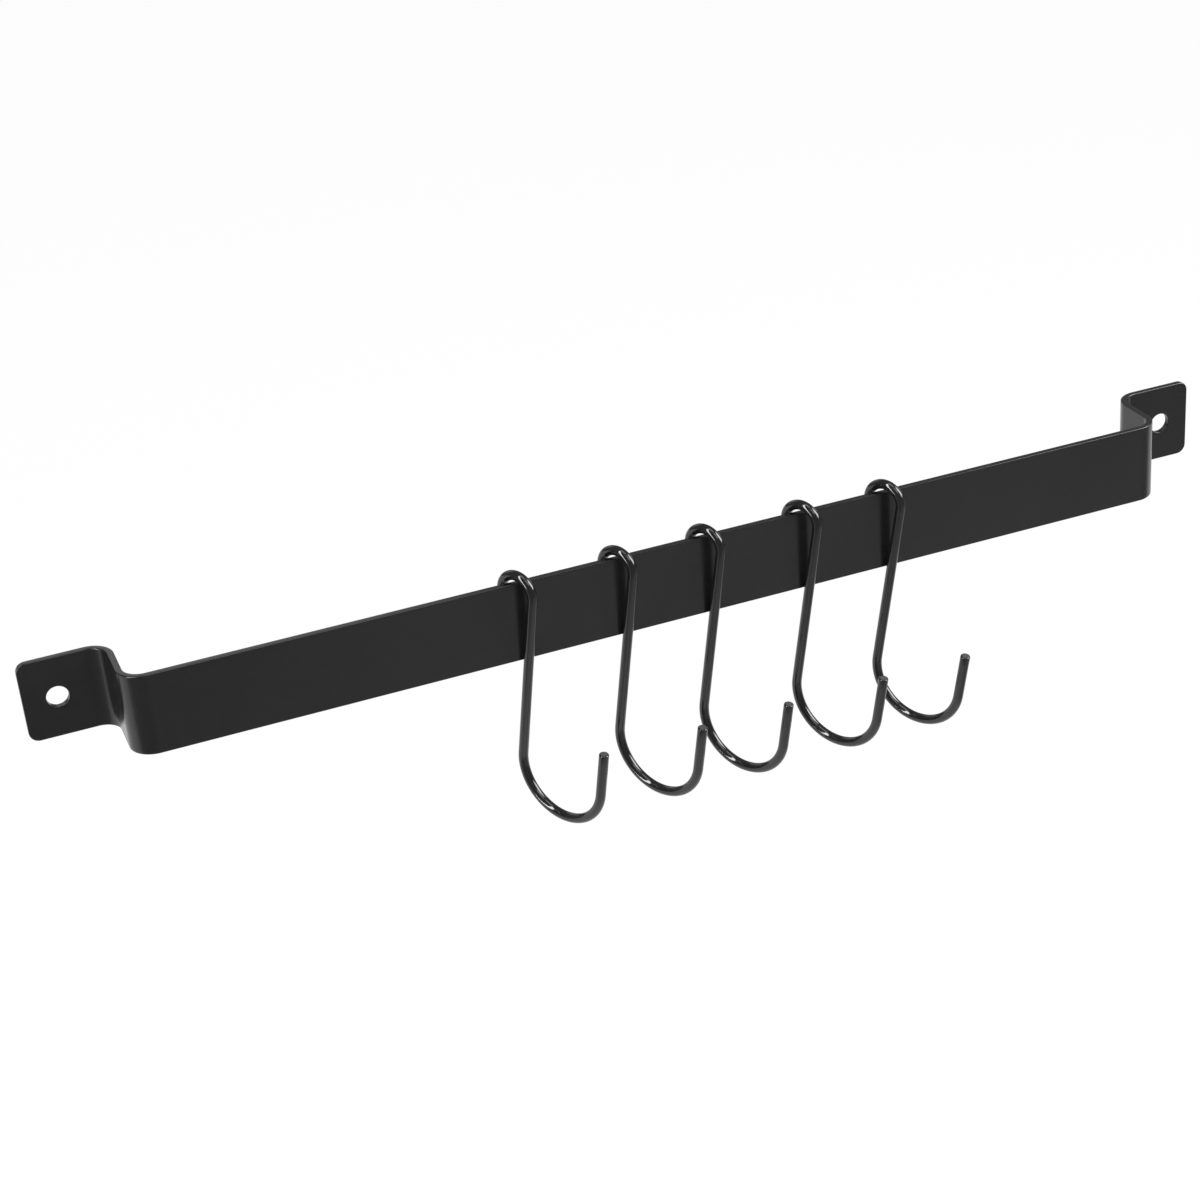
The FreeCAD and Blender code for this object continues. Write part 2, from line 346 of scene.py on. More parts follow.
class WireTree(FormTree):
    """Bends a straight wire into a hook in one plane, sweeps it round and hangs it.

    The wire is fed along X, so X tells how much of it lies behind each point.
    """

    RUNS: ClassVar = ("Back Leg", "Crook Radius", "Shank", "Throat Radius", "Tip")
    SECTION: ClassVar = ("Wire Radius", "End Rounding")
    POSE: ClassVar = ("Lean", "Turn", "Seat X", "Seat Y", "Seat Z")
    SIDES: ClassVar = 40
    THICKNESS: ClassVar = "thick"

    def __init__(self) -> None:
        """Build the tree."""
        super().__init__("bend_wire_hook", (*self.RUNS, *self.SECTION, *self.POSE))
        self.back, self.crook, self.shank, self.throat, self.tip = map(self.size, self.RUNS)
        self.shank_start = self.back + self.crook * math.pi
        self.tip_start = self.shank_start + self.shank + self.throat * math.pi
        self.close(self.hung(self.swept(self.bent(self.thinned()))))

    def thinned(self) -> bpy.types.NodeSocket:
        """Store how thick the wire is at each point, less where its ends round off.

        Returns:
            The straight line with its thickness, as a share of the wire's own.
        """
        rounding = self.size("End Rounding")
        total = self.tip_start + self.tip
        from_end = self.x.step("MINIMUM", total - self.x) / rounding
        short_of_full = from_end.step("MINIMUM", 1.0).rest_of_one()
        arch = (short_of_full * short_of_full).rest_of_one().step("MAXIMUM", 0.0).step("SQRT")
        share = (arch.rest_of_one() * (rounding / self.size("Wire Radius"))).rest_of_one()
        line = self.given.outputs["Geometry"]
        inputs = {"Geometry": line, "Name": self.THICKNESS, "Value": share.value}
        return self.add("GeometryNodeStoreNamedAttribute", {"domain": "POINT"}, inputs).outputs[0]

    def bent(self, line: bpy.types.NodeSocket) -> bpy.types.NodeSocket:
        """Bend the straight line into back leg, crook, shank, throat and tip.

        Args:
            line: the straight line.

        Returns:
            The bent line, with the crook's centre at the origin.
        """
        throat_start = self.shank_start + self.shank
        rise = self.x.step("MINIMUM", self.back)
        over = self.x.within(self.back, self.crook * math.pi) / self.crook
        drop = self.x.within(self.shank_start, self.shank)
        under = self.x.within(throat_start, self.throat * math.pi) / self.throat
        end = self.x.within(self.tip_start, self.tip)
        x = self.throat * under.step("COSINE").rest_of_one() - self.crook * over.step("COSINE")
        top = rise - self.back + self.crook * over.step("SINE")
        z = top - drop - self.throat * under.step("SINE") + end
        return self.moved(line, x, 0.0, z)

    def swept(self, line: bpy.types.NodeSocket) -> bpy.types.NodeSocket:
        """Give the bent line its round section and close its ends.

        Args:
            line: the bent line.

        Returns:
            The wire's surface.
        """
        thick = self.add("GeometryNodeInputNamedAttribute", inputs={"Name": self.THICKNESS})
        circle = {"Resolution": self.SIDES, "Radius": self.size("Wire Radius").value}
        section = self.add("GeometryNodeCurvePrimitiveCircle", inputs=circle)
        inputs = {
            "Curve": line,
            "Profile Curve": section.outputs[0],
            "Scale": thick.outputs[0],
            "Fill Caps": True,
        }
        return self.add("GeometryNodeCurveToMesh", inputs=inputs).outputs[0]

    def hung(self, wire: bpy.types.NodeSocket) -> bpy.types.NodeSocket:
        """Lean the hook, turn it about the vertical and set its crook's centre in place.

        Args:
            wire: the upright hook.

        Returns:
            The hook as it hangs.
        """
        angles = {1: self.size("Lean").value, 2: self.size("Turn").value}
        turned = self.add("ShaderNodeCombineXYZ", inputs=angles)
        place = {i: self.size(f"Seat {axis}").value for i, axis in enumerate("XYZ")}
        seat = self.add("ShaderNodeCombineXYZ", inputs=place)
        inputs = {
            "Geometry": wire,
            "Translation": seat.outputs[0],
            "Rotation": turned.outputs[0],
        }
        return self.add("GeometryNodeTransform", inputs=inputs).outputs[0]


@dataclass(frozen=True)
class BlackCoat:
    """A baked black coating on steel, from a dull satin to a high gloss.

    Lengths are in millimetres. The colour drifts between dark and light in soft mottles, and
    the roughness between its two values in finer ones. The wave is the slow unevenness of the
    surface, and the peel is the fine ripple of a coat that flowed before it set. On a sheared
    end the coat is thin and dull.
    """

    name: str
    dark: str
    light: str
    roughness: tuple[float, float]
    ior: float
    peel_width: float
    peel_height: float
    wave_width: float
    wave_height: float
    mottle_width: float
    mottle_spread: tuple[float, float] = (0.35, 0.65)
    gloss_spread: tuple[float, float] = (0.3, 0.7)
    gloss_fineness: float = 4.0
    thin: str = "#3a3a3b"
    thin_roughness: float = 0.5

    def build(self) -> bpy.types.Material:
        """Build the material.

        Returns:
            The material, for any piece with this coat.
        """
        material = bpy.data.materials.new(self.name)
        material.use_nodes = True
        tree = material.node_tree
        shader = tree.nodes["Principled BSDF"]
        shader.inputs["IOR"].default_value = self.ior
        place = add_node(tree, "ShaderNodeTexCoord").outputs["Object"]
        scaling = {"Vector": place, "Scale": (1 / MM,) * 3}
        in_mm = add_node(tree, "ShaderNodeMapping", inputs=scaling).outputs[0]
        sheared = add_node(tree, "ShaderNodeAttribute", {"attribute_name": SHEARED_END})
        sheared_share = sheared.outputs["Fac"]

        def noise(width: float, detail: float) -> bpy.types.NodeSocket:
            """Return a noise whose blobs are about this wide, in millimetres."""
            inputs = {"Vector": in_mm, "Scale": 1 / width, "Detail": detail}
            return add_node(tree, "ShaderNodeTexNoise", inputs=inputs).outputs["Fac"]

        mottle = noise(self.mottle_width, detail=3.0)
        colours = add_node(tree, "ShaderNodeValToRGB", inputs={"Fac": mottle})
        first, last = colours.color_ramp.elements
        first.position, last.position = self.mottle_spread
        first.color, last.color = linear(self.dark), linear(self.light)
        full = colours.outputs["Color"]
        colour = blend_colours(tree, sheared_share, full, linear(self.thin))
        tree.links.new(colour, shader.inputs["Base Color"])

        spread = {
            "Value": noise(self.mottle_width / self.gloss_fineness, detail=4.0),
            "From Min": self.gloss_spread[0],
            "From Max": self.gloss_spread[1],
            "To Min": self.roughness[0],
            "To Max": self.roughness[1],
        }
        gloss = add_node(tree, "ShaderNodeMapRange", inputs=spread).outputs[0]
        shares = {"Factor": sheared_share, "A": gloss, "B": self.thin_roughness}
        roughness = add_node(tree, "ShaderNodeMix", inputs=shares)
        tree.links.new(roughness.outputs[0], shader.inputs["Roughness"])

        slow = {
            "Height": noise(self.wave_width, detail=1.0),
            "Strength": 1.0,
            "Distance": self.wave_height * MM,
        }
        wave = add_node(tree, "ShaderNodeBump", inputs=slow)
        fine = {
            "Height": noise(self.peel_width, detail=2.0),
            "Strength": 1.0,
            "Distance": self.peel_height * MM,
            "Normal": wave.outputs[0],
        }
        peel = add_node(tree, "ShaderNodeBump", inputs=fine)
        tree.links.new(peel.outputs[0], shader.inputs["Normal"])
        return material


# Satin powder coat on mild steel: an even black, dull enough to blur all that it mirrors, so
# the broad faces read as soft dark greys without any hard edge
SATIN_POWDER_COAT = BlackCoat(
    name="satin_powder_coat_on_mild_steel",
    dark="#141415",
    light="#161617",
    roughness=(0.21, 0.26),
    ior=1.5,
    peel_width=0.8,
    peel_height=0.0015,
    wave_width=42.0,
    wave_height=0.02,
    mottle_width=18.0,
)

# Glossy black enamel on drawn steel wire: it looks wet, with narrow bright streaks along the
# bends, and shows faint waves from the wire below
GLOSS_ENAMEL = BlackCoat(
    name="gloss_enamel_on_drawn_wire",
    dark="#101011",
    light="#141415",
    roughness=(0.08, 0.10),
    ior=1.58,
    peel_width=0.7,
    peel_height=0.001,
    wave_width=6.0,
    wave_height=0.003,
    mottle_width=8.0,
)


@dataclass
class MeshDraft:
    """The points and faces of a mesh while it is made, in millimetres."""

    points: list[Point] = field(default_factory=list)
    faces: list[tuple[int, ...]] = field(default_factory=list)

    def add(self, *points: Point) -> list[int]:
        """Add points and return their numbers."""
        self.points += points
        return list(range(len(self.points) - len(points), len(self.points)))

    def face(self, corners: tuple[int, ...], flip: bool) -> None:
        """Add a face, turned over if flip is true."""
        self.faces.append(corners[::-1] if flip else corners)

    def stitch(self, first: list[int], second: list[int], flip: bool) -> None:
        """Join two closed rings of as many points each with a band of faces.

        Args:
            first: the points of one ring, in order.
            second: the points of the other ring, in the same order.
            flip: whether the faces are turned over.
        """
        ends = [*zip(first, second)]
        for (low, high), (next_low, next_high) in zip(ends, ends[1:] + ends[:1]):
            self.face((low, next_low, next_high, high), flip)

    def finished(self, name: str) -> bpy.types.Object:
        """Make the object, in metres, without the points that no face uses.

        Args:
            name: the name of the object and its mesh.

        Returns:
            The new object.
        """
        mesh = bpy.data.meshes.new(name)
        in_metres = [tuple(value * MM for value in point) for point in self.points]
        mesh.from_pydata(in_metres, [], self.faces)
        work = bmesh.new()
        work.from_mesh(mesh)
        loose = [vert for vert in work.verts if not vert.link_faces]
        bmesh.ops.delete(work, geom=loose, context="VERTS")
        work.to_mesh(mesh)
        work.free()
        made = bpy.data.objects.new(name, mesh)
        bpy.context.scene.collection.objects.link(made)
        return made


class EdgePoint(NamedTuple):
    """A point on the edge of a flat face, and the way out of the steel there."""

    place: float
    height: float
    along: float
    up: float


@dataclass
class FlatStripRail:
    """The rail: a flat bar, punched and rounded at its ends, then bent four times.

    Lengths are in millimetres. The steps say how many faces each stretch or curve has.
    Round each hole the grid of the flat face gives way to a square patch of rings. The even
    weight lets the broad faces, not the narrow rims, steer the shading where they meet.
    """

    length: float = 380.0
    height: float = 25.0
    thickness: float = 2.0
    standoff: float = 26.0
    tab: float = 25.0
    inner_radius: float = 5.5
    corner_radius: float = 3.0
    rim_radius: float = 0.4
    hole_diameter: float = 6.5
    hole_inset: float = 10.0
    hole_rim_radius: float = 0.2
    hole_patch: float = 12.0
    bar_steps: int = 24
    bend_steps: int = 28
    leg_steps: int = 4
    tab_steps: int = 3
    patch_steps: int = 14
    corner_steps: int = 10
    rim_steps: int = 5
    side_levels: tuple[float, ...] = (0.6, 0.78, 0.92, 1.0)
    even_weight: int = 100

    @property
    def middle_radius(self) -> float:
        """Radius of the strip's middle layer in each bend."""
        return self.inner_radius + self.thickness / 2

    @property
    def bar_half(self) -> float:
        """Straight length from the middle of the bar to its bend."""
        return self.length / 2 - self.tab - self.inner_radius - self.thickness

    @property
    def leg(self) -> float:
        """Straight length of a leg between its two bends."""
        return self.standoff - 2 * (self.inner_radius + self.thickness)

    @property
    def flat_half(self) -> float:
        """Half the length of the strip before it is bent."""
        arcs = 2 * QUARTER_TURN * self.middle_radius
        return self.bar_half + arcs + self.leg + self.tab - self.inner_radius

    @property
    def hole_place(self) -> float:
        """Distance along the flat strip from its middle to a hole."""
        return self.flat_half - self.hole_inset

    @property
    def face_half(self) -> float:
        """Half the height of a flat face, inside its rims."""
        return self.height / 2 - self.rim_radius

    @property
    def face_corner(self) -> float:
        """Radius of a flat face's corners, inside its rims."""
        return self.corner_radius - self.rim_radius

    @property
    def corner_place(self) -> float:
        """Distance along the flat strip from its middle to the corners' centres."""
        return self.flat_half - self.rim_radius - self.face_corner

    def stations(self) -> list[float]:
        """Lay out the columns of points along the flat strip.

        Returns:
            Their places, from the middle to the right end.
        """
        arc = QUARTER_TURN * self.middle_radius
        patch_start = self.hole_place - self.hole_patch / 2
        second_bend = self.bar_half + arc + self.leg
        stretches = [
            (0.0, self.bar_half, self.bar_steps),
            (self.bar_half, arc, self.bend_steps),
            (self.bar_half + arc, self.leg, self.leg_steps),
            (second_bend, arc, self.bend_steps),
            (second_bend + arc, patch_start - second_bend - arc, self.tab_steps),
            (patch_start, self.hole_patch, self.patch_steps),
        ]
        places = [
            start + length * i / steps for start, length, steps in stretches for i in range(steps)
        ]
        places.append(patch_start + self.hole_patch)
        turns = [QUARTER_TURN * i / self.corner_steps for i in range(self.corner_steps + 1)]
        places += [self.corner_place + self.face_corner * math.sin(turn) for turn in turns]
        return places

    def levels(self) -> list[float]:
        """Lay out the rows of points across the flat strip.

        Returns:
            Their heights, as shares of half the face's height from -1 to 1.
        """
        shares = [i / self.patch_steps - 0.5 for i in range(self.patch_steps + 1)]
        inside = [self.hole_patch * share / self.face_half for share in shares]
        return [-level for level in reversed(self.side_levels)] + inside + [*self.side_levels]

    def half_height(self, place: float) -> float:
        """Measure a flat face across, which narrows at its rounded corners.

        Args:
            place: distance along the flat strip from its middle, to either side.

        Returns:
            Half the face's height there.
        """
        past = abs(place) - self.corner_place
        if past <= 0:
            return self.face_half
        left = math.sqrt(max(self.face_corner**2 - past**2, 0.0))
        return self.face_half - self.face_corner + left

    def in_patch(self, place: float, height: float) -> bool:
        """Tell whether a point lies in the square patch round a hole."""
        reach = self.hole_patch / 2 + TOLERANCE
        return abs(abs(place) - self.hole_place) < reach and abs(height) < reach

    def flat_face(
        self, draft: MeshDraft, places: list[float], levels: list[float], facing: Facing
    ) -> Columns:
        """Lay one broad face, all but the patches round the holes.

        Args:
            draft: the mesh, which grows.
            places: the columns' places along the strip.
            levels: the rows' heights, as shares.
            facing: which face.

        Returns:
            The numbers of the face's points, column by column.
        """
        columns = []
        depth = facing.value * self.thickness / 2
        for place in places:
            half = self.half_height(place)
            columns.append(draft.add(*((place, depth, level * half) for level in levels)))
        for i, j in itertools.product(range(len(places) - 1), range(len(levels) - 1)):
            middle = (places[i] + places[i + 1]) / 2
            height = (levels[j] + levels[j + 1]) / 2 * self.face_half
            if not self.in_patch(middle, height):
                near, far = columns[i], columns[i + 1]
                draft.face((near[j], far[j], far[j + 1], near[j + 1]), facing is Facing.BACK)
        return columns

    @staticmethod
    def way_round(left: int, right: int, low: int, high: int) -> list[tuple[int, int]]:
        """Walk round a rectangle of the grid, from its lower left and along the bottom first.

        Args:
            left: its first column.
            right: its last column.
            low: its first row.
            high: its last row.

        Returns:
            The column and row of each point on the way.
        """
        way = [(i, low) for i in range(left, right)]
        way += [(right, j) for j in range(low, high)]
        way += [(i, high) for i in range(right, left, -1)]
        way += [(left, j) for j in range(high, low, -1)]
        return way

    def rim_ring(
        self, draft: MeshDraft, outline: list[EdgePoint], radius: float, facing: Facing, step: int
    ) -> list[int]:
        """Add one ring of a quarter-round rim.

        Args:
            draft: the mesh, which grows.
            outline: the flat face's edge.
            radius: the rim's radius.
            facing: the face that the rim belongs to.
            step: which ring, from 1 to rim_steps.

        Returns:
            The numbers of the ring's points.
        """
        angle = QUARTER_TURN * step / self.rim_steps
        out = radius * math.sin(angle)
        depth = facing.value * (self.thickness / 2 - radius * (1 - math.cos(angle)))
        places = (
            (edge.place + out * edge.along, depth, edge.height + out * edge.up) for edge in outline
        )
        return draft.add(*places)

    def wall(
        self,
        draft: MeshDraft,
        outline: list[EdgePoint],
        edges: dict[Facing, list[int]],
        radius: float,
        outer: bool,
    ) -> None:
        """Round the rims of both faces along one outline and join them by its wall.

        Args:
            draft: the mesh, which grows.
            outline: the flat faces' edge.
            edges: the numbers of the edge's points on each face.
            radius: the rims' radius.
            outer: whether this is the strip's outer edge, and not a hole's.
        """
        last: dict[Facing, list[int]] = {}
        for facing in Facing:
            ring = edges[facing]
            for step in range(1, self.rim_steps + 1):
                following = self.rim_ring(draft, outline, radius, facing, step)
                draft.stitch(ring, following, (facing is Facing.FRONT) == outer)
                ring = following
            last[facing] = ring
        draft.stitch(last[Facing.FRONT], last[Facing.BACK], outer)

    def round_outside(self, draft: MeshDraft, faces: dict[Facing, Columns]) -> None:
        """Round the strip's outer rims and close the wall between them.

        Args:
            draft: the mesh, which grows.
            faces: the numbers of the flat faces' points.
        """
        front = faces[Facing.FRONT]
        way = self.way_round(0, len(front) - 1, 0, len(front[0]) - 1)
        corner_height = self.face_half - self.face_corner
        outline = []
        for i, j in way:
            place, _, height = draft.points[front[i][j]]
            past = math.copysign(max(abs(place) - self.corner_place, 0.0), place)
            above = math.copysign(max(abs(height) - corner_height, 0.0), height)
            out = Vector((past, above)).normalized()
            outline.append(EdgePoint(place, height, out.x, out.y))
        edges = {facing: [faces[facing][i][j] for i, j in way] for facing in Facing}
        self.wall(draft, outline, edges, self.rim_radius, outer=True)

    def punch(
        self,
        draft: MeshDraft,
        faces: dict[Facing, Columns],
        places: list[float],
        levels: list[float],
        centre: float,
    ) -> None:
        """Fill the patch round one hole with rings that run into the hole's rims and wall.

        Args:
            draft: the mesh, which grows.
            faces: the numbers of the flat faces' points.
            places: the columns' places along the strip.
            levels: the rows' heights, as shares.
            centre: the hole's place along the strip.
        """
        heights = [level * self.face_half for level in levels]
        reach = self.hole_patch / 2 + TOLERANCE
        columns = [i for i, place in enumerate(places) if abs(place - centre) < reach]
        rows = [j for j, height in enumerate(heights) if abs(height) < reach]
        way = self.way_round(columns[0], columns[-1], rows[0], rows[-1])
        radius = self.hole_diameter / 2 + self.hole_rim_radius
        outline = []
        for i, j in way:
            angle = math.atan2(heights[j], places[i] - centre)
            across, up = math.cos(angle), math.sin(angle)
            outline.append(EdgePoint(centre + radius * across, radius * up, -across, -up))
        edges: dict[Facing, list[int]] = {}
        for facing in Facing:
            ring = [faces[facing][i][j] for i, j in way]
            square = [draft.points[number] for number in ring]
            for step in range(1, self.rim_steps):
                share = step / (self.rim_steps - 1)
                nearer = (
                    (x + (edge.place - x) * share, y, z + (edge.height - z) * share)
                    for (x, y, z), edge in zip(square, outline)
                )
                following = draft.add(*nearer)
                draft.stitch(ring, following, facing is Facing.BACK)
                ring = following
            edges[facing] = ring
        self.wall(draft, outline, edges, self.hole_rim_radius, outer=False)

    def blank(self) -> bpy.types.Object:
        """Make the flat strip, with rounded corners, punched holes and softened rims.

        Returns:
            The strip, lying along X.
        """
        draft = MeshDraft()
        right_half = self.stations()
        places = [-place for place in reversed(right_half[1:])] + right_half
        levels = self.levels()
        faces = {facing: self.flat_face(draft, places, levels, facing) for facing in Facing}
        self.round_outside(draft, faces)
        for centre in (-self.hole_place, self.hole_place):
            self.punch(draft, faces, places, levels, centre)
        return draft.finished("flat_strip")

    def build(self, tree: BendTree, finish: bpy.types.Material) -> bpy.types.Object:
        """Bend the flat strip and dress it.

        Args:
            tree: the tree that bends it.
            finish: its coat.

        Returns:
            The rail.
        """
        sizes = {
            "Bar Half": self.bar_half * MM,
            "Bend Radius": self.middle_radius * MM,
            "Leg": self.leg * MM,
            "Middle Layer": (self.thickness / 2 - self.standoff) * MM,
        }
        rail = tree.apply(self.blank(), sizes, finish, "rail_strip")
        even = rail.modifiers.new("even_normals", "WEIGHTED_NORMAL")
        even.weight = self.even_weight
        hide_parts("rail")
        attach(rail, "rail")
        return rail


@dataclass
class WireHook:
    """One hook: a length of round wire bent in one plane and hung over the bar.

    Lengths are in millimetres and angles in degrees. The steps say how many points each
    stretch or curve of the wire has.
    """

    number: int
    place: float
    wire: float = 3.0
    crook_radius: float = 5.7
    back_leg: float = 5.0
    shank: float = 54.5
    throat_radius: float = 14.9
    tip: float = 15.2
    end_rounding: float = 0.4
    turn: float = 29.3
    seat_angle: float = 48.0
    clearance: float = 0.25
    bar_height: float = 25.0
    bar_thickness: float = 2.0
    bar_middle: float = -25.0
    end_steps: int = 6
    back_steps: int = 2
    bend_steps: int = 48
    shank_steps: int = 12
    tip_steps: int = 4

    def seat(self) -> tuple[Vector, float]:
        """Hang the hook: crook on the bar's top back corner, shank on its lower front corner.

        Returns:
            The crook's centre, in millimetres, and how far the hook leans, in radians.
        """
        turn = math.radians(self.turn)
        seat = math.radians(self.seat_angle)
        half_wire = self.wire / 2
        half_bar = self.bar_thickness / 2 / math.cos(turn)
        reach = self.crook_radius - half_wire - self.clearance
        forward = reach * math.cos(seat) - half_bar
        up = -reach * math.sin(seat)
        edge = half_bar + (half_wire + self.clearance) / math.cos(turn)
        to_forward = forward - edge
        to_up = up + self.bar_height
        away = math.hypot(to_forward, to_up)
        lean = math.atan2(to_forward, to_up) + math.asin(self.crook_radius / away)
        x = self.place + forward * math.sin(turn)
        y = self.bar_middle - forward * math.cos(turn)
        return Vector((x, y, self.bar_height / 2 + up)), lean

    def stations(self) -> list[float]:
        """Lay out the points along the straight wire, closer together where it will bend.

        Returns:
            Their places, from the back end to the tip.
        """
        turns = [QUARTER_TURN * i / self.end_steps for i in range(self.end_steps + 1)]
        rounded = [self.end_rounding * (1 - math.cos(turn)) for turn in turns]
        stretches = [
            (self.back_leg, self.back_steps),
            (math.pi * self.crook_radius, self.bend_steps),
            (self.shank, self.shank_steps),
            (math.pi * self.throat_radius, self.bend_steps),
            (self.tip, self.tip_steps),
        ]
        stations = list(rounded)
        start = 0.0
        for length, steps in stretches:
            stations += [start + length * i / steps for i in range(1, steps + 1)]
            start += length
        return stations[:-1] + [start - place for place in reversed(rounded)]

    def blank(self) -> bpy.types.Object:
        """Make the straight wire's centre line.

        Returns:
            A curve along X.
        """
        stations = self.stations()
        curve = bpy.data.curves.new("straight_wire", "CURVE")
        curve.dimensions = "3D"
        spline = curve.splines.new("POLY")
        spline.points.add(len(stations) - 1)
        for point, station in zip(spline.points, stations):
            point.co = (station * MM, 0.0, 0.0, 1.0)
        blank = bpy.data.objects.new("straight_wire", curve)
        bpy.context.scene.collection.objects.link(blank)
        return blank

    def build(self, tree: WireTree, finish: bpy.types.Material) -> bpy.types.Object:
        """Bend the wire, hang it and dress it.

        Args:
            tree: the tree that bends and hangs it.
            finish: its coat.

        Returns:
            The hook.
        """
        centre, lean = self.seat()
        sizes = {
            "Back Leg": self.back_leg * MM,
            "Crook Radius": self.crook_radius * MM,
            "Shank": self.shank * MM,
            "Throat Radius": self.throat_radius * MM,
            "Tip": self.tip * MM,
            "Wire Radius": self.wire / 2 * MM,
            "End Rounding": self.end_rounding * MM,
            "Lean": lean,
            "Turn": math.radians(self.turn) - QUARTER_TURN,
            "Seat X": centre.x * MM,
            "Seat Y": centre.y * MM,
            "Seat Z": centre.z * MM,
        }
        node = f"hook_{self.number}"
        hook = tree.apply(self.blank(), sizes, finish, f"{node}_wire")
        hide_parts(node)
        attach(hook, node)
        return hook


@dataclass(frozen=True)
class Softbox:
    """A rectangular studio lamp, aimed at the object.

    Angles are in degrees: azimuth 0 is in front of the rail and 90 to its right, as seen from
    the room. Lengths are in metres, and brightness is the lamp's own, where 1 is white paper.
    """

    name: str
    azimuth: float
    elevation: float
    distance: float
    width: float
    height: float
    brightness: float

    def build(self, aim: Vector) -> bpy.types.Object:
        """Place the lamp.

        Args:
            aim: what it shines at, in metres.

        Returns:
            The lamp.
        """
        turn, rise = math.radians(self.azimuth), math.radians(self.elevation)
        level = math.cos(rise)
        away = Vector((math.sin(turn) * level, -math.cos(turn) * level, math.sin(rise)))
        light = bpy.data.lights.new(self.name, "AREA")
        light.shape = "RECTANGLE"
        light.size, light.size_y = self.width, self.height
        light.energy = self.brightness * math.pi * self.width * self.height
        lamp = bpy.data.objects.new(self.name, light)
        lamp.location = aim + away * self.distance
        lamp.rotation_euler = away.to_track_quat("Z", "Y").to_euler()
        bpy.context.scene.collection.objects.link(lamp)
        return lamp


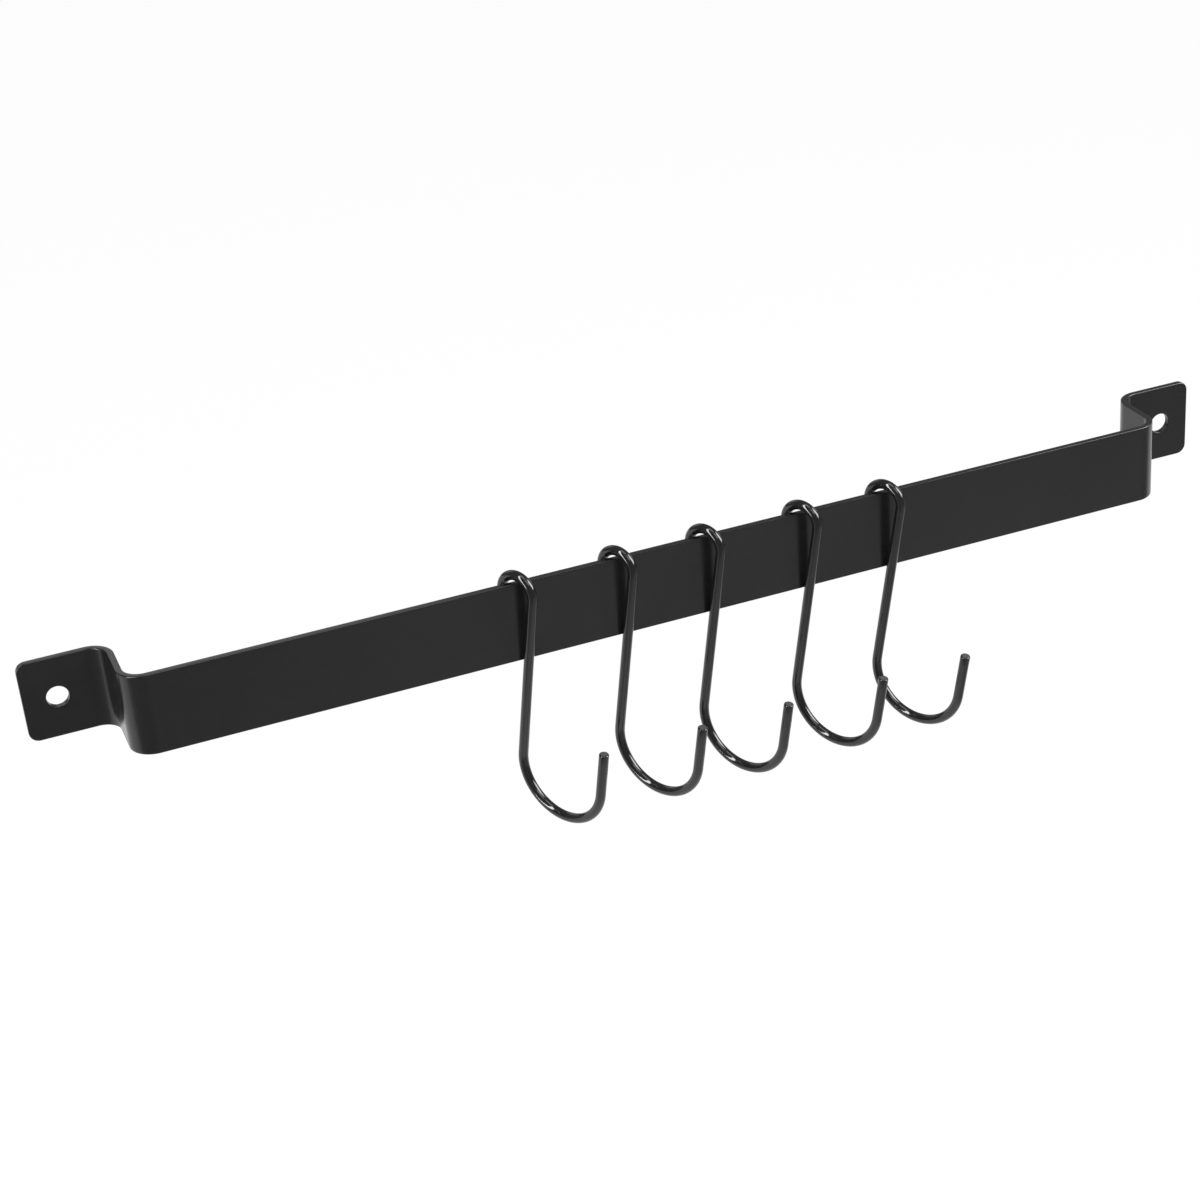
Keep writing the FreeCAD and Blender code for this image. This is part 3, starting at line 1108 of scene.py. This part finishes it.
@dataclass
class Studio:
    """White paper below and behind the rail, a dimly lit pale room and soft lamps.

    Lengths are in metres. The paper is white near the rail and behind it. It fades to painted
    shade, a flat grey, where both the distance from near_centre has run through near_reach and Y
    has run through front. Round painted_light_centre that painted shade holds a lighter patch of
    painted light, over painted_light_reach, which the right half of the bar mirrors.
    """

    floor_level: float = -0.35
    floor_half: float = 12.0
    paper: str = "#ffffff"
    # Painted shade in front of the rail, and a lighter patch of painted light within it
    painted_light_patch: str = "#c9c9c9"
    painted_shade_grey: str = "#959595"
    near_centre: tuple[float, float] = (-0.10, 0.0)
    near_reach: tuple[float, float] = (0.27, 0.50)
    front: tuple[float, float] = (-0.05, -0.20)
    # Centre and reach of the lighter patch of painted light
    painted_light_centre: tuple[float, float] = (0.33, -0.60)
    painted_light_reach: tuple[float, float] = (0.15, 0.55)
    room: str = "#8c8c8c"
    shadow_share: float = 0.04
    aim: Point = (0.0, -0.026, -0.01)
    lamps: tuple[Softbox, ...] = (
        Softbox("left_softbox", -74.0, 28.0, 1.3, 0.19, 2.0, 15.0),
        Softbox("right_softbox", 68.0, 33.0, 1.4, 0.95, 0.95, 10.0),
        Softbox("front_high_softbox", 6.0, 50.0, 1.3, 0.5, 0.6, 2.5),
        Softbox("ceiling_softbox", 20.0, 82.0, 1.4, 0.6, 0.6, 2.5),
        Softbox("back_left_softbox", -168.0, 27.0, 1.8, 1.4, 0.9, 0.65),
    )

    def paper_colour(self, tree: bpy.types.NodeTree) -> bpy.types.NodeSocket:
        """Add the paper's colour: white, fading to painted shade in front, with painted light in
        it.

        Args:
            tree: the paper's tree.

        Returns:
            The socket of the colour.
        """
        place = add_node(tree, "ShaderNodeTexCoord").outputs["Object"]
        split = add_node(tree, "ShaderNodeSeparateXYZ", inputs={0: place})

        def fade(value: bpy.types.NodeSocket, reach: tuple[float, float]) -> bpy.types.NodeSocket:
            """Return a smooth step from 0 to 1 as the value runs through the reach."""
            settings = {"interpolation_type": "SMOOTHSTEP"}
            inputs = {"Value": value, "From Min": reach[0], "From Max": reach[1]}
            return add_node(tree, "ShaderNodeMapRange", settings, inputs).outputs[0]

        def away_from(centre: tuple[float, float]) -> bpy.types.NodeSocket:
            """Return the distance from a point of the floor."""
            inputs = {0: place, 1: (*centre, self.floor_level)}
            node = add_node(tree, "ShaderNodeVectorMath", {"operation": "DISTANCE"}, inputs)
            return node.outputs["Value"]

        # Painted shade in front, holding a lighter patch of painted light, over the paper's white
        outside_painted_light = fade(away_from(self.painted_light_centre), self.painted_light_reach)
        far = blend_colours(tree, outside_painted_light, linear(self.painted_light_patch), linear(self.painted_shade_grey))
        past_near = fade(away_from(self.near_centre), self.near_reach)
        in_front = fade(split.outputs["Y"], self.front)
        share = Term(tree, past_near) * Term(tree, in_front)
        return blend_colours(tree, share.value, linear(self.paper), far)

    def paper_finish(self) -> bpy.types.Material:
        """Build the matt white paper.

        It shows its colour, painted shade and light included, to the camera and in mirrorings,
        so that no lamp has to be raised for a white ground, and takes a little of the object's
        shadow.

        Returns:
            The material.
        """
        material = bpy.data.materials.new("matt_white_paper")
        material.use_nodes = True
        tree = material.node_tree
        tree.nodes.clear()
        colour = self.paper_colour(tree)
        path = add_node(tree, "ShaderNodeLightPath")
        rays = ("Is Camera Ray", "Is Glossy Ray", "Is Transmission Ray")
        camera, glossy, through = (Term(tree, path.outputs[ray]) for ray in rays)
        seen = camera.step("MAXIMUM", glossy).step("MAXIMUM", through)
        share = seen * (1 - self.shadow_share)
        matt = add_node(tree, "ShaderNodeBsdfDiffuse", inputs={"Color": colour})
        glow = add_node(tree, "ShaderNodeEmission", inputs={"Color": colour, "Strength": 1.0})
        inputs = {0: share.value, 1: matt.outputs[0], 2: glow.outputs[0]}
        both = add_node(tree, "ShaderNodeMixShader", inputs=inputs)
        add_node(tree, "ShaderNodeOutputMaterial", inputs={"Surface": both.outputs[0]})
        return material

    def build(self) -> None:
        """Lay the floor, light the object and set the surroundings."""
        half, level = self.floor_half, self.floor_level
        corners = [(x * half, y * half, level) for x, y in ((-1, -1), (1, -1), (1, 1), (-1, 1))]
        mesh = bpy.data.meshes.new("paper_floor")
        mesh.from_pydata(corners, [], [(0, 1, 2, 3)])
        mesh.materials.append(self.paper_finish())
        floor = bpy.data.objects.new("paper_floor", mesh)
        bpy.context.scene.collection.objects.link(floor)
        for lamp in self.lamps:
            lamp.build(Vector(self.aim))
        world = bpy.data.worlds.new("pale_room")
        world.use_nodes = True
        backdrop = world.node_tree.nodes["Background"]
        backdrop.inputs["Color"].default_value = linear(self.room)
        backdrop.inputs["Strength"].default_value = 1.0
        scene = bpy.context.scene
        scene.world = world
        scene.view_settings.view_transform = "Standard"


@dataclass(frozen=True)
class PhotoCamera:
    """The camera, where the photograph was taken from.

    Angles are in degrees and lengths in millimetres. The azimuth turns the view from straight
    at the wall towards +X, and the elevation looks down.
    """

    azimuth: float = 18.9821
    elevation: float = 27.4337
    roll: float = -5.1929
    distance: float = 743.347
    target: Point = (-15.897, 0.0, -13.694)
    lens: float = 73.276
    sensor: float = 36.0

    def build(self) -> bpy.types.Object:
        """Place the camera and make it the scene's own.

        Returns:
            The camera.
        """
        turn, down = math.radians(self.azimuth), math.radians(self.elevation)
        roll = math.radians(self.roll)
        flat = math.cos(down)
        view = Vector((math.sin(turn) * flat, math.cos(turn) * flat, -math.sin(down)))
        level = Vector((math.cos(turn), -math.sin(turn), 0.0))
        upright = level.cross(view)
        right = level * math.cos(roll) + upright * math.sin(roll)
        up = upright * math.cos(roll) - level * math.sin(roll)
        data = bpy.data.cameras.new("photo_camera")
        data.lens = self.lens
        data.sensor_width = self.sensor
        camera = bpy.data.objects.new("photo_camera", data)
        axes = Matrix((right, up, -view)).transposed().to_4x4()
        centre = (Vector(self.target) - view * self.distance) * MM
        camera.matrix_world = Matrix.Translation(centre) @ axes
        bpy.context.scene.collection.objects.link(camera)
        bpy.context.scene.camera = camera
        return camera


def main() -> None:
    """Build the camera, the studio, the rail and its hooks."""
    logging.basicConfig(level=logging.INFO, format="%(name)s: %(message)s")
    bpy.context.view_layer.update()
    PhotoCamera().build()
    Studio().build()

    rail = FlatStripRail().build(BendTree(), SATIN_POWDER_COAT.build())
    LOG.info("%s has %d faces", rail.name, len(rail.data.polygons))
    wire_tree = WireTree()
    enamel = GLOSS_ENAMEL.build()
    for number, place in enumerate(HOOK_PLACES, start=1):
        hook = WireHook(number, place).build(wire_tree, enamel)
        LOG.info("%s has %d faces", hook.name, len(hook.data.polygons))

    bpy.context.view_layer.update()


if __name__ == "__main__":
    main()
